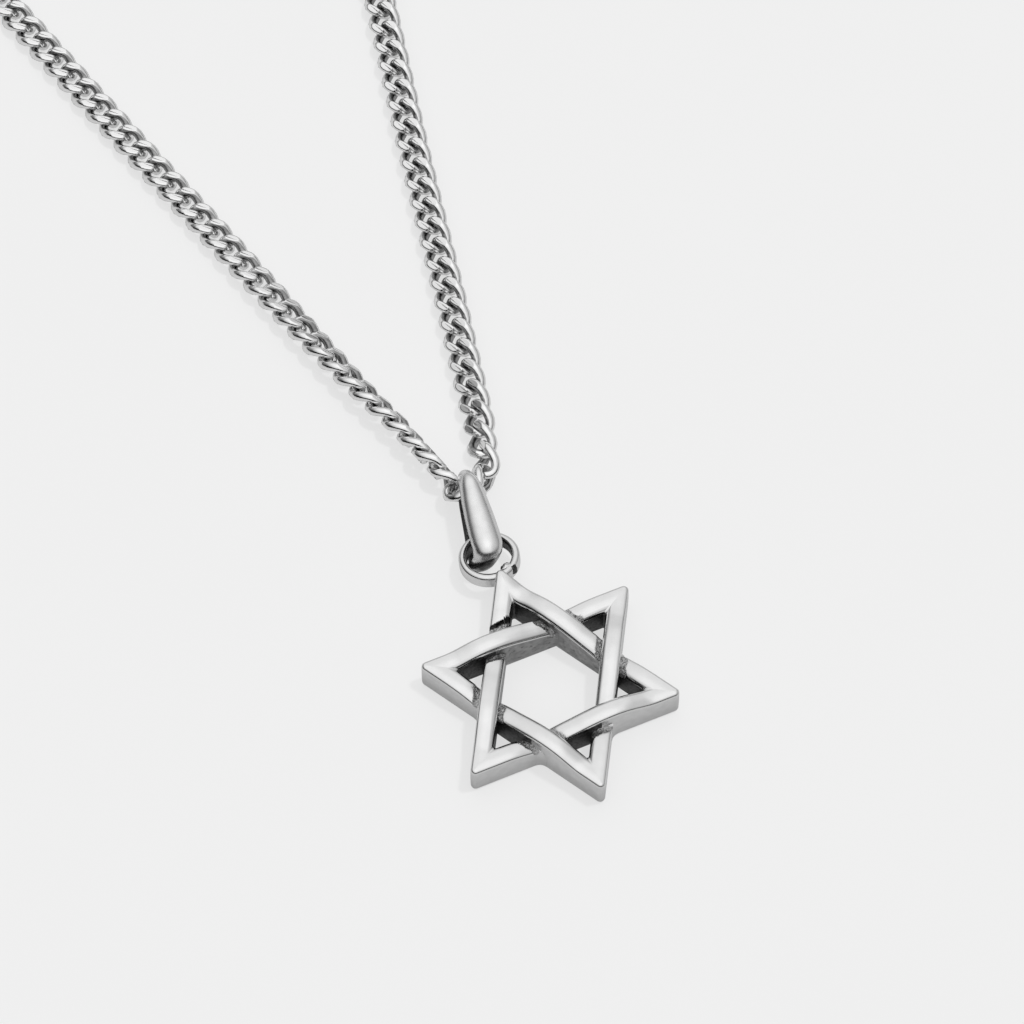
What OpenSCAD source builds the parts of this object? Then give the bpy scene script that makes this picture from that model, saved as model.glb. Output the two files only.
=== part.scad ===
// Woven six-pointed star pendant on a curb chain, lying on its back on a flat surface.
// Millimetres. +Z points up out of the star's face, +Y from the star to the clasp.
// The origin is on the surface, in the middle of the necklace's footprint.

/* [Star] */
// Distance across opposite tips
tip_to_tip = 22; // [16:0.5:34]
// Width of each bar
bar_width = 1.7; // [1:0.1:2.6]
// Radius on each tip, seen from the front
tip_round = 0.45; // [0.2:0.05:0.8]
// Height of the tips above the surface
tip_height = 3.3; // [2.6:0.1:5]
// Height of the top tip, which carries the ring
top_tip_height = 3.8; // [2.8:0.1:5]
// Height of a bar where it goes over another
over_height = 4.1; // [3.6:0.1:6]
// Height of a bar where it goes under another
under_height = 2.3; // [1.2:0.1:2.6]
// Length of the rough dip on each side of an upper bar
dip_length = 0.6; // [0.2:0.1:1]
// Radius in the valleys between the tips
valley_round = 0.9; // [0.3:0.1:1.5]
// Radius in the corners of the six-sided window
window_round = 0.5; // [0.2:0.1:1.2]

/* [Soldered ring] */
// Outside diameter of the ring on the top tip
ring_outside = 5.3; // [4.9:0.05:8]
// Thickness of the ring's band, from its outside to its hole
ring_wire = 0.7; // [0.6:0.05:1.1]
// Height of the ring's band
ring_height = 1.4; // [1:0.1:2]
// Tilt of the ring, whose far side is the lower one, in degrees
ring_tilt = 12; // [0:1:15]
// How far the middle of the ring stands beyond the tip
ring_reach = 2.05; // [1.4:0.05:2.4]
// Diameter of the lump of solder on the ring
solder_lump = 1.1; // [0.9:0.05:1.6]

/* [Bail] */
// Outside length of the bail
bail_length = 9.5; // [8:0.1:14]
// Outside depth of the bail, from front to back
bail_depth = 4.7; // [4.4:0.1:7]
// Widest part of the bail's front
bail_width = 2.7; // [1.8:0.1:3]
// Width of the bail's front at its upper end
bail_top_width = 1.6; // [1.2:0.1:2.6]
// Thickness of the bail's front
bail_front = 1.2; // [0.7:0.05:1.5]
// Thickness and width of the bail's back wire
bail_back = 0.65; // [0.4:0.05:0.9]
// Thickness and width of the bail's two ends
bail_end = 0.95; // [0.6:0.05:1.2]

/* [Chain] */
// Width of the chain across its flat
chain_width = 3; // [2:0.1:3.4]
// Thickness of the chain
chain_thick = 1.5; // [1:0.1:1.8]

/* [Clasp] */
// Length of the clasp from end to end
clasp_length = 12; // [11:0.5:18]
// Width of the clasp's body
clasp_width = 4.8; // [3.6:0.1:7]
// Thickness of the clasp's body
clasp_thick = 3.1; // [2:0.1:4]
// Wire diameter of the clasp's hook and eye
clasp_bar = 1.0; // [0.8:0.05:1.2]
// Outside diameter of the two rings at the clasp
link_ring_outside = 4.0; // [3.8:0.1:5]
// Wire diameter of the two rings at the clasp
link_ring_wire = 0.7; // [0.5:0.05:0.8]

/* [Hidden] */
gap = 0.15;                                 // clearance between loose pieces
over = 0.5;                                 // how far a cutter runs past a face
round_fn = 72;
arc_parts = 8;                              // flats on a tip or in a fillet

// The tips' sharp points, which their round ends fall short of.
tip_reach = tip_to_tip / 2;
sharp_reach = tip_reach + tip_round;
outer_side = sharp_reach / 2;               // from the middle to a bar's outer side
inner_side = outer_side - bar_width;        // from the middle to a bar's inner side
half_outer = outer_side * sqrt(3);
cutter_top = max(over_height, top_tip_height) + over;

// Heights along a bar, going clockwise: it rises over one bar and sinks under the next.
// It is level at the tips, where two bars meet.
// [place as a share of half the bar, share of the rise, share of the fall]
bar_rows = [
    [-1.00, 0.00, 0.00], [-0.70, 0.00, 0.00], [-0.60, 0.38, 0.00], [-0.50, 0.78, 0.00],
    [-0.42, 0.95, 0.00], [-0.34, 1.00, 0.00], [-0.22, 0.90, 0.00], [-0.10, 0.60, 0.00],
    [ 0.02, 0.20, 0.00], [ 0.12, 0.00, 0.05], [ 0.20, 0.00, 0.35], [ 0.30, 0.00, 0.60],
    [ 0.42, 0.00, 0.35], [ 0.54, 0.00, 0.08], [ 0.64, 0.00, 0.00], [ 1.00, 0.00, 0.00]];

// The two bars that meet in the top tip rise to it from this place on.
rise_from = 0.6;
function tip_rise(bar, place) = (bar == 1 && place < -rise_from)
    || (bar == 5 && place > rise_from) ? (abs(place) - rise_from) / (1 - rise_from) : 0;
function bar_top(row, bar) = tip_height + row[1] * (over_height - tip_height)
    - row[2] * (tip_height - under_height)
    + tip_rise(bar, row[0]) * (top_tip_height - tip_height);

// The soldered ring's near edge is just below the top of the other tips.
ring_drop = 0.1;
ring_sweep = (ring_outside - ring_wire) / 2;
ring_middle = [0, tip_reach + ring_reach, tip_height - ring_drop
    - ring_height / 2 * cos(ring_tilt) - ring_sweep * sin(ring_tilt)];
solder_turn = -45;                          // round the ring, from its +X side

// The bail leans on its back wire, with its lower end in the ring's hole.
bail_turn = -10;                            // from the star's axis, anticlockwise
bail_lean = 14;                             // of its front, towards +X
bail_seat = [-0.55, -0.85];                 // its lower end, from the ring's middle
bail_axis = [-sin(bail_turn), cos(bail_turn)];
bail_low = [ring_middle[0] + bail_seat[0], ring_middle[1] + bail_seat[1]];
bail_middle = bail_low + bail_axis * bail_length / 2;
bail_rest = bail_depth / 2 * cos(bail_lean) + bail_back / 2 * sin(bail_lean);
bail_hole = bail_depth - bail_front - bail_back;
bail_straight = bail_length - bail_depth;

// The chain hangs from the inside of the bail's upper end, and its route is measured
// from the outside of that end.
hang = bail_low + bail_axis * bail_length;

// The route from the clasp down the left strand, through the bail and back.
// [x, y, how far it is lifted off the surface, turn of its flat: 0 lies flat,
// share of its full section: it is less where the bail's end sits between two links]
route_rows = [
    [-20.5, 236, 0.2, 0, 1], [-33.5, 229.5, 0, 0, 1], [-43.5, 219.5, 0, 0, 1],
    [-50.5, 207, 0, 0, 1], [-53.5, 192, 0, 0, 1], [-51.5, 177, 0, 0, 1],
    [-45.5, 156, 0, 0, 1], [-39.5, 135, 0, 0, 1], [-33.5, 114, 0, 0, 1],
    [-27.8, 93, 0, 0, 1], [-22, 73, 0, -2, 1], [-18.2, 59.5, 0, -3, 1],
    [-14.5, 46, 0, -5, 1], [-10.8, 32.9, 0, -10, 1], [-8.1, 23.2, 0, -22, 1],
    [-6.3, 16.9, 0, -37, 1], [-4.4, 10.7, 0, -54, 1], [-3.3, 7.6, 0, -60, 1],
    [-2.5, 4.7, 0.1, -66, 1], [-1.9, 2.3, 0.4, -72, 1], [-1.6, 0.6, 0.7, -78, 0.9],
    [-1.75, -0.8, 0.9, -84, 0.7], [-1, -1.95, 1, -90, 0.62], [0.1, -2.05, 1, -90, 0.62],
    [1.1, -1.7, 1, -86, 0.62], [1.9, -0.9, 0.9, -78, 0.75], [2.5, 0.2, 0.7, -66, 0.9],
    [3.1, 2.4, 0.4, -50, 1], [3.5, 4.6, 0.1, -36, 1], [4.2, 7.9, 0, -28, 1],
    [4.9, 11.3, 0, -23, 1], [6.3, 18, 0, -20, 1], [9, 31.8, 0, -18, 1],
    [12, 46, 0, -16, 1], [17, 69.5, 0, -12, 1], [22, 92, 0, -8, 1], [27, 114, 0, -4, 1],
    [32, 136, 0, 0, 1], [37, 158, 0, 0, 1], [42, 179.5, 0, 0, 1], [43, 192, 0, 0, 1],
    [40, 207, 0, 0, 1], [33.5, 219.5, 0, 0, 1], [23, 229.5, 0, 0, 1], [10.5, 236, 0.2, 0, 1]];
tube_step = 3 * chain_width;                // about how far apart the tube's rings are
tube_sides = 8;

// The clasp lies at the far end of the loop, with a ring through each of its two eyes.
clasp_place = [-5.2, 238];                  // from the same point as the route
link_ring_sweep = (link_ring_outside - link_ring_wire) / 2;
link_ring_tilt = 45;
eye_sweep = (link_ring_sweep + (link_ring_wire + clasp_bar) / 2 + 2 * gap + clasp_bar) / 2;
link_ring_place = (clasp_length - clasp_bar) / 2;
clasp_level = max(clasp_thick / 2,
    link_ring_sweep * sin(link_ring_tilt) + link_ring_wire / 2 + gap / 5);
chain_end = link_ring_place + link_ring_outside / 2 + gap;
end_lift = clasp_level - chain_thick / 2;
route = concat(
    [[clasp_place[0] - chain_end, clasp_place[1], end_lift, 0, 1]],
    route_rows,
    [[clasp_place[0] + chain_end, clasp_place[1], end_lift, 0, 1]]);

// Half the height of the chain's oval section when it is turned.
function turned_height(turn) =
    sqrt(pow(chain_width / 2 * sin(turn), 2) + pow(chain_thick / 2 * cos(turn), 2));

function smooth(a, b, c, d, t) = 0.5 * (2 * b + (c - a) * t
    + (2 * a - 5 * b + 4 * c - d) * t * t + (3 * b - a - 3 * c + d) * t * t * t);

last = len(route) - 1;
function row_at(i) = i < 0 ? 2 * route[0] - route[1]
    : i > last ? 2 * route[last] - route[last - 1] : route[i];
function steps_after(i) = max(1, round(norm([route[i + 1][0] - route[i][0],
    route[i + 1][1] - route[i][1]]) / tube_step));
line = concat([for (i = [0:last - 1]) for (k = [0:steps_after(i) - 1])
    smooth(row_at(i - 1), row_at(i), row_at(i + 1), row_at(i + 2), k / steps_after(i))],
    [route[last]]);
function place_of(row) = [hang[0] + row[0], hang[1] + row[1],
    max(row[2], 0) + turned_height(row[3]) * row[4]];
spots = [for (row = line) place_of(row)];
rings = len(line);

function unit(v) = v / norm(v);
function heading(i) = unit(spots[min(i + 1, rings - 1)] - spots[max(i - 1, 0)]);

// One ring of the tube: an oval whose long side is turned about the line.
function tube_ring(i) =
    let (ahead = heading(i), side = unit(cross(ahead, [0, 0, 1])),
         up = cross(side, ahead), turn = line[i][3], share = line[i][4],
         flat = cos(turn) * side - sin(turn) * up,
         face = sin(turn) * side + cos(turn) * up)
    [for (k = [0:tube_sides - 1])
        spots[i] + share * (chain_width / 2 * cos(360 * k / tube_sides) * flat
                          + chain_thick / 2 * sin(360 * k / tube_sides) * face)];

// The footprint's middle, which becomes the origin.
left_edge = min([for (s = spots) s[0]]) - chain_width / 2;
right_edge = max([for (s = spots) s[0]]) + chain_width / 2;
near_edge = -tip_reach;
far_edge = hang[1] + clasp_place[1] + clasp_width / 2;
footprint = [(left_edge + right_edge) / 2, (near_edge + far_edge) / 2];

module placed() {
    translate([-footprint[0], -footprint[1], 0]) children();
}

module wire_ring(outside, wire) {
    rotate_extrude($fn = round_fn)
        translate([(outside - wire) / 2, 0]) circle(d = wire, $fn = 32);
}

// The dip that a bar makes on each side of the bar above it.
module dip() {
    rotate([0, 0, -60])
        translate([-half_outer, inner_side - dip_length, under_height])
            cube([2 * half_outer, bar_width + 2 * dip_length, cutter_top]);
}

// An arc's points about the origin, from one angle to the other.
function arc(radius, from, to) =
    [for (k = [0:arc_parts]) let (a = from + (to - from) * k / arc_parts)
        radius * [cos(a), sin(a)]];
function past(a, b) = b + over * unit(b - a);

// The plan of three bars that meet in round tips, the first tip at this angle.
module triangle(first) {
    tips = [first, first + 120, first + 240];
    difference() {
        polygon([for (a = tips) each [for (p = arc(tip_round, a - 60, a + 60))
            p + (sharp_reach - 2 * tip_round) * [cos(a), sin(a)]]]);
        polygon([for (a = tips) 2 * inner_side * [cos(a), sin(a)]]);
    }
}

// The side view of a bar, drawn wider than the bar, with its dips cut out.
module bar_profile(bar) {
    end = half_outer + over;
    tops = [for (row = bar_rows) [row[0] * half_outer, bar_top(row, bar)]];
    difference() {
        translate([0, outer_side + over / 2, 0]) rotate([90, 0, 0])
            linear_extrude(height = bar_width + over)
                polygon(concat([[end, 0], [-end, 0], [-end, tops[0][1]]], tops,
                    [[end, tops[len(tops) - 1][1]]]));
        dip();
    }
}

// Every other bar, from the one at this place, going clockwise.
module woven_bars(first) {
    intersection() {
        linear_extrude(height = cutter_top) triangle(first == 0 ? 30 : 90);
        union() {
            for (k = [first, first + 2, first + 4]) rotate([0, 0, -60 * k]) bar_profile(k);
        }
    }
}

// The fillet in a 120 degree corner whose point is at reach along +Y, and whose sides
// open towards +Y (side = 1) or -Y (side = -1). Its ends run on into the bars.
module corner_fill(reach, radius, side) {
    corner = -radius * 2 / sqrt(3);
    points = arc(radius, -120, -60);
    inner = [for (k = [1:arc_parts - 1]) points[k]];
    linear_extrude(height = under_height) translate([0, reach]) scale([1, side])
        translate([0, -corner])
            polygon(concat([past(points[1], points[0])], inner,
                [past(points[arc_parts - 1], points[arc_parts]), [0, corner - over / 2]]));
}

// The soldered ring, a band with round edges, and its lump of solder.
module soldered_ring() {
    straight = ring_height - ring_wire;
    translate(ring_middle) rotate([-ring_tilt, 0, 0]) {
        rotate_extrude($fn = round_fn) translate([ring_sweep, 0]) {
            for (end = [-1, 1]) translate([0, end * straight / 2])
                circle(d = ring_wire, $fn = 32);
            square([ring_wire, straight], center = true);
        }
        rotate([0, 0, solder_turn]) translate([ring_sweep, 0, straight / 2])
            sphere(d = solder_lump, $fn = 32);
    }
}

module star() {
    color("silver") placed() {
        woven_bars(0);
        woven_bars(1);
        for (k = [0:5]) rotate([0, 0, 60 * k + 30]) {
            corner_fill(outer_side * 2 / sqrt(3), valley_round, 1);
            corner_fill(inner_side * 2 / sqrt(3), window_round, -1);
        }
        soldered_ring();
    }
}

// The bail's outside, an upright loop with straight sides and round ends, before it is
// narrowed. X is across it, Y along it, and Z from its back to its front.
module bail_loop() {
    outer = bail_depth / 2;
    dome = bail_width / 2;
    for (end = [-1, 1]) translate([0, end * bail_straight / 2, 0]) rotate([0, 90, 0])
        rotate_extrude($fn = round_fn) intersection() {
            translate([outer - dome, 0]) circle(r = dome, $fn = round_fn);
            translate([0, -dome - over]) square([bail_depth, bail_width + 2 * over]);
        }
    rotate([90, 0, 0]) linear_extrude(height = bail_straight, center = true) {
        for (face = [-1, 1]) translate([0, face * (outer - dome)])
            circle(r = dome, $fn = round_fn);
        square([bail_width, 2 * (outer - dome)], center = true);
    }
}

// Seen along the bail, it narrows from its broad front to its ends and its thin back.
module bail_taper() {
    outer = bail_depth / 2;
    wide = bail_width / 2 + over;
    middle = bail_end / 2;
    rotate([90, 0, 0]) linear_extrude(height = bail_length + 2 * over, center = true)
        polygon([[-bail_back / 2, -outer - over], [bail_back / 2, -outer - over],
                 [bail_back / 2, -outer + bail_back], [middle, 0],
                 [bail_width / 2, outer - bail_front], [wide, outer - bail_front + over],
                 [wide, outer + over], [-wide, outer + over],
                 [-wide, outer - bail_front + over], [-bail_width / 2, outer - bail_front],
                 [-middle, 0], [-bail_back / 2, -outer + bail_back]]);
}

// Seen from its front, the bail narrows towards its upper end.
module bail_front_taper() {
    low = bail_length / 2 + over;
    linear_extrude(height = bail_depth + 2 * over, center = true)
        polygon([[-bail_width, -low], [bail_width, -low], [bail_width / 2, -bail_length / 4],
                 [bail_top_width / 2, bail_length / 2], [bail_top_width / 2, low],
                 [-bail_top_width / 2, low], [-bail_top_width / 2, bail_length / 2],
                 [-bail_width / 2, -bail_length / 4]]);
}

module bail() {
    hole_straight = bail_length - 2 * bail_end - bail_hole;
    color("gainsboro") placed() translate([bail_middle[0], bail_middle[1], bail_rest])
        rotate([0, 0, bail_turn]) rotate([0, bail_lean, 0]) difference() {
            intersection() {
                bail_loop();
                bail_taper();
                bail_front_taper();
            }
            translate([0, 0, (bail_back - bail_front) / 2]) {
                for (end = [-1, 1]) translate([0, end * hole_straight / 2, 0])
                    rotate([0, 90, 0]) cylinder(d = bail_hole, h = 2 * bail_width,
                        center = true, $fn = round_fn);
                cube([2 * bail_width, hole_straight, bail_hole], center = true);
            }
        }
}

module chain() {
    points = [for (i = [0:rings - 1]) each tube_ring(i)];
    sides = [for (i = [0:rings - 2]) for (k = [0:tube_sides - 1])
        let (n = (k + 1) % tube_sides, a = i * tube_sides, b = a + tube_sides)
        [a + k, a + n, b + n, b + k]];
    first = [for (k = [tube_sides - 1:-1:0]) k];
    end = [for (k = [0:tube_sides - 1]) (rings - 1) * tube_sides + k];
    color("lightgray") placed() polyhedron(points = points, faces = concat(sides, [first, end]),
        convexity = 8);
}

module at_clasp() {
    placed() translate([hang[0] + clasp_place[0], hang[1] + clasp_place[1], clasp_level])
        children();
}

module clasp() {
    eye_place = clasp_length / 2 - clasp_bar / 2 - eye_sweep;
    color("darkgray") at_clasp() {
        scale([2 * (eye_place - eye_sweep + clasp_bar), clasp_width, clasp_thick])
            sphere(d = 1, $fn = round_fn);
        for (side = [-1, 1]) translate([side * eye_place, 0, 0])
            wire_ring(2 * eye_sweep + clasp_bar, clasp_bar);
    }
}

module link_ring(side) {
    at_clasp() translate([side * link_ring_place, 0, 0]) rotate([link_ring_tilt, 0, 0])
        wire_ring(link_ring_outside, link_ring_wire);
}

module clasp_ring() {
    color("dimgray") link_ring(-1);
}

module end_ring() {
    color("slategray") link_ring(1);
}

star();
bail();
chain();
clasp();
clasp_ring();
end_ring();
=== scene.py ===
"""Looks of a woven six-pointed star pendant that lies on a pale floor with its curb chain."""

import math

import bmesh
import bpy
import numpy as np
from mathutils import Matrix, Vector, noise


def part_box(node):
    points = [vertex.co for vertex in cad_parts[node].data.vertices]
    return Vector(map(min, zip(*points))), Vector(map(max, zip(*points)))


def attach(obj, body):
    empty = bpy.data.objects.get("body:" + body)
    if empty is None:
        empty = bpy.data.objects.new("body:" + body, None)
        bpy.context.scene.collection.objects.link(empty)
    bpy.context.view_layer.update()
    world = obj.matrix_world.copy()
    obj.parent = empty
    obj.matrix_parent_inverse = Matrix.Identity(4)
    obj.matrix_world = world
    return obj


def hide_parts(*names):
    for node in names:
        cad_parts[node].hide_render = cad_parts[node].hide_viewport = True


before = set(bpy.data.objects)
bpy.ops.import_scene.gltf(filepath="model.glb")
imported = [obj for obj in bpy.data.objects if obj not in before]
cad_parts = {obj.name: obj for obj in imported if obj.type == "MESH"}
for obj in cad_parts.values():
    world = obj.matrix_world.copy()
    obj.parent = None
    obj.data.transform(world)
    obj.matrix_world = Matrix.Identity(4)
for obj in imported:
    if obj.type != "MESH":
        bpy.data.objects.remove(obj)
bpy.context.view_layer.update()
scene = bpy.context.scene

MM = 0.001                                     # in metres

# Sizes in millimetres and degrees, the same as the solids have.
TIP_TO_TIP = 22
BAR_WIDTH = 1.7
TIP_ROUND = 0.45
TIP_HEIGHT = 3.3
TOP_TIP_HEIGHT = 3.9
OVER_HEIGHT = 4.1
UNDER_HEIGHT = 2.3
DIP_LENGTH = 0.6
VALLEY_ROUND = 0.9
WINDOW_ROUND = 0.5
RING_OUTSIDE = 5.3
RING_WIRE = 0.7
RING_HEIGHT = 1.4
RING_TILT = 12
RING_REACH = 2.05
BAIL_LENGTH = 9.5
BAIL_DEPTH = 4.7
BAIL_FRONT = 1.2
BAIL_BACK = 0.65
BAIL_END = 0.95
CHAIN_WIDTH = 3
CHAIN_THICK = 1.5
CLASP_LENGTH = 12
CLASP_THICK = 3.1
CLASP_BAR = 1.0
LINK_RING_OUTSIDE = 4.0
LINK_RING_WIRE = 0.7

GAP = 0.15                                     # between neighbouring pieces
TIP_REACH = TIP_TO_TIP / 2
OUTER_SIDE = (TIP_REACH + TIP_ROUND) / 2
INNER_SIDE = OUTER_SIDE - BAR_WIDTH
HALF_OUTER = OUTER_SIDE * math.sqrt(3)

# The star's middle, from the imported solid.
star_low, star_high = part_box("star")
STAR = np.array([(star_low.x + star_high.x) / 2, star_low.y + TIP_REACH * MM, 0]) / MM


def unit(v):
    """The direction of a vector."""
    return v / np.linalg.norm(v)


def turned(points, degrees):
    """Points turned about the vertical, anticlockwise seen from above."""
    c, s = math.cos(math.radians(degrees)), math.sin(math.radians(degrees))
    return np.asarray(points, float) @ np.array([[c, s, 0], [-s, c, 0], [0, 0, 1]])


def smoothstep(low, high, x):
    """A soft rise from 0 at low to 1 at high."""
    t = np.clip((x - low) / (high - low), 0, 1)
    return t * t * (3 - 2 * t)


# Camera

TARGET = np.array([8.19, -107.96, 0])          # on the floor, in the picture's middle
LOOK = np.array([0.1859, 0.4303, -0.8834])     # the camera's direction
DISTANCE = 450
LENS, SENSOR = 182.3, 36
CLIP = 0.01, 20                                # in metres

camera = bpy.data.objects.new("camera", bpy.data.cameras.new("camera"))
scene.collection.objects.link(camera)
camera.data.sensor_width = SENSOR
camera.data.lens = LENS
camera.location = Vector((TARGET - LOOK * DISTANCE) * MM)
camera.rotation_euler = Vector(LOOK).to_track_quat("-Z", "Y").to_euler()
camera.data.clip_start, camera.data.clip_end = CLIP
scene.camera = camera

# Light: a soft pale room with a dark strip round the horizon, which is darkest at the front
# and the left, and a weak key from the right.

# [height, 0 at the horizon and 1 overhead, brightness] of the room's two sides
DARK_ROOM = [(0.0, 0.1), (0.02, 0.0), (0.42, 0.01), (0.5, 0.42), (0.6, 0.76), (0.88, 0.86),
             (1.0, 1.0)]
LIGHT_ROOM = [(0.0, 0.45), (0.03, 0.25), (0.15, 0.35), (0.34, 0.65), (0.6, 0.82), (0.88, 0.88),
              (1.0, 1.05)]
LIGHT_SIDE = (0.8, 0.6, 0)                     # of the room: behind the star and to the right
SIDES_BLEND = 0.6                              # how far along that way the sides blend
RIGHT = (0.918, -0.397, 0)                     # the other way across the room
# [place, 0 at the far left and 1 at the far right, share of the brightness]
BESIDE = [(0.0, 0.5), (0.12, 0.7), (0.24, 1.0), (0.66, 1.0), (0.78, 0.72), (1.0, 0.68)]
ROOM_SEEN = (0.864, 0.864, 0.864, 1)           # the plain backdrop past the floor
KEY_FROM = np.array([0.33, -0.06, 0.94])       # right of the camera's view, high
KEY_ENERGY = 1.1
KEY_SPREAD = 5                                 # in degrees

scene.view_settings.view_transform = "Standard"
scene.view_settings.look = "None"


class Nodes:
    """Short calls for a node tree."""

    def __init__(self, tree):
        self.tree = tree
        tree.nodes.clear()

    def add(self, kind, **values):
        """A node with its settings and sockets. Where a name isn't enough, input6 is socket 6."""
        node = self.tree.nodes.new(kind)
        for name, value in values.items():
            if hasattr(node, name):
                setattr(node, name, value)
            else:
                self.set(node, name, value)
        return node

    def set(self, node, name, value):
        """Gives a socket its value, or its link."""
        socket = node.inputs[int(name[5:]) if name.startswith("input") else name]
        if isinstance(value, bpy.types.NodeSocket):
            self.tree.links.new(value, socket)
        else:
            socket.default_value = value

    def ramp(self, factor, stops):
        """Greys between stops, each a place and a value."""
        node = self.add("ShaderNodeValToRGB", input0=factor)
        stops = list(stops)
        elements = node.color_ramp.elements
        while len(elements) < len(stops):
            elements.new(0.5)
        for element, (place, value) in zip(elements, stops):
            element.position = place
            element.color = (value, value, value, 1)
        return node.outputs[0]

    def span(self, value, from_low, from_high, to_low=0, to_high=1, **settings):
        """A value carried from one span to another."""
        node = self.add("ShaderNodeMapRange", Value=value, **settings)
        for socket, number in zip(node.inputs[1:5], (from_low, from_high, to_low, to_high)):
            socket.default_value = number
        return node.outputs[0]

    def along(self, vector, way):
        """How far a vector reaches along a fixed way."""
        node = self.add("ShaderNodeVectorMath", operation="DOT_PRODUCT", input0=vector,
                        input1=way)
        return node.outputs["Value"]

    def mix(self, share, a, b, **settings):
        node = self.add("ShaderNodeMix", data_type="RGBA", input0=share, input6=a, input7=b,
                        **settings)
        return node.outputs[2]

    def times(self, a, b):
        return self.mix(1.0, a, b, blend_type="MULTIPLY")

    def multiply_add(self, a, b, c):
        node = self.add("ShaderNodeMath", operation="MULTIPLY_ADD", input0=a, input1=b, input2=c)
        return node.outputs[0]

    def seen(self):
        """1 where the camera sees the surface itself, and 0 in what metal reflects."""
        return self.add("ShaderNodeLightPath").outputs["Is Camera Ray"]


world = bpy.data.worlds.new("room")
scene.world = world
world.use_nodes = True
w = Nodes(world.node_tree)
direction = w.add("ShaderNodeTexCoord").outputs["Generated"]
level = w.add("ShaderNodeSeparateXYZ", Vector=direction).outputs["Z"]
light_share = w.span(w.along(direction, LIGHT_SIDE), -SIDES_BLEND, SIDES_BLEND)
room = w.mix(light_share, w.ramp(level, DARK_ROOM), w.ramp(level, LIGHT_ROOM))
beside = w.ramp(w.span(w.along(direction, RIGHT), -1, 1), BESIDE)
shade = w.mix(w.seen(), w.times(room, beside), ROOM_SEEN)
background = w.add("ShaderNodeBackground", Color=shade)
w.add("ShaderNodeOutputWorld", Surface=background.outputs[0])

key = bpy.data.objects.new("key", bpy.data.lights.new("key", "SUN"))
scene.collection.objects.link(key)
key.data.energy = KEY_ENERGY
key.data.angle = math.radians(KEY_SPREAD)
key.visible_glossy = False
key.rotation_euler = Vector(-unit(KEY_FROM)).to_track_quat("-Z", "Y").to_euler()

# Materials

BROAD = 6                                      # size of the broad wear, in grains
NOISE_SPAN = 0.3, 0.7                          # of a noise's values, as a brightness uses them
SPOT_EDGE = 0.08                               # of the noise's values, across a spot's edge
CLOUD_SIZE = 0.7                               # of the waves in a fall's edge
UNEVEN = 0.2                                   # of a metal's roughness, more or less


def metal(name, tone, rough, grain, wear=0.1, bump=0.02, spots=None, painted_shade_falls=()):
    """Silver. tone is its brightness, and grain the size of its fine marks in millimetres.

    wear is the share of the tone that its broad marks take away. spots has the share of the
    tone that its dark spots keep, their size, and the noise's value past which they lie. Each
    fall is painted shade, a darkening along one way: it has a direction, two places along
    it, the shares of the tone at them, and how far its edge waves.
    """
    material = bpy.data.materials.new(name)
    material.use_nodes = True
    m = Nodes(material.node_tree)
    place = m.add("ShaderNodeTexCoord").outputs["Object"]
    fine = m.add("ShaderNodeTexNoise", Vector=place, Scale=1 / (grain * MM), Detail=4.0,
                 Roughness=0.6)
    broad = m.add("ShaderNodeTexNoise", Vector=place, Scale=1 / (grain * BROAD * MM), Detail=2.0)
    brightness = m.ramp(broad.outputs["Fac"], zip(NOISE_SPAN, (tone * (1 - wear), tone)))
    if spots:
        kept, size, past = spots
        spot = m.add("ShaderNodeTexNoise", Vector=place, Scale=1 / (size * MM), Detail=5.0,
                     Roughness=0.7)
        marks = m.ramp(spot.outputs["Fac"], [(past, 1.0), (past + SPOT_EDGE, kept)])
        brightness = m.times(brightness, marks)
    # Each fall paints shade into the tone: a darkening along its way.
    for way, low, high, at_low, at_high, wave in painted_shade_falls:
        cloud = m.add("ShaderNodeTexNoise", Vector=place, Scale=1 / (CLOUD_SIZE * MM), Detail=2.0)
        reach = m.multiply_add(cloud.outputs["Fac"], wave * MM, m.along(place, tuple(way)))
        middle = wave / 2
        share = m.span(reach, (low + middle) * MM, (high + middle) * MM, at_low, at_high,
                       interpolation_type="SMOOTHSTEP")
        brightness = m.times(brightness, share)
    roughness = m.span(fine.outputs["Fac"], 0, 1, rough * (1 - UNEVEN), rough * (1 + UNEVEN))
    height = m.add("ShaderNodeBump", Height=fine.outputs["Fac"], Strength=bump,
                   Distance=grain * MM)
    shader = m.add("ShaderNodeBsdfPrincipled", Roughness=roughness, Normal=height.outputs[0],
                   Metallic=1.0)
    m.set(shader, "Base Color", brightness)
    m.add("ShaderNodeOutputMaterial", Surface=shader.outputs[0])
    return material


# The bail's silver has painted shade: it darkens a little towards its flanks, and to black at its
# lower end, which lies in the ring's shade.
BAIL_TURN = -10
BAIL_AXIS = np.array([-math.sin(math.radians(BAIL_TURN)), math.cos(math.radians(BAIL_TURN)), 0])
BAIL_ACROSS = np.array([BAIL_AXIS[1], -BAIL_AXIS[0], 0])
FOOT_BELOW, RIDGE_LEFT = 0.9, 0.05             # of the ring's middle, on the bail's own axes
ring_spot = STAR + [0, TIP_REACH + RING_REACH, 0]
bail_foot = float(BAIL_AXIS @ ring_spot) - FOOT_BELOW
bail_ridge = float(BAIL_ACROSS @ ring_spot) - RIDGE_LEFT

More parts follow.
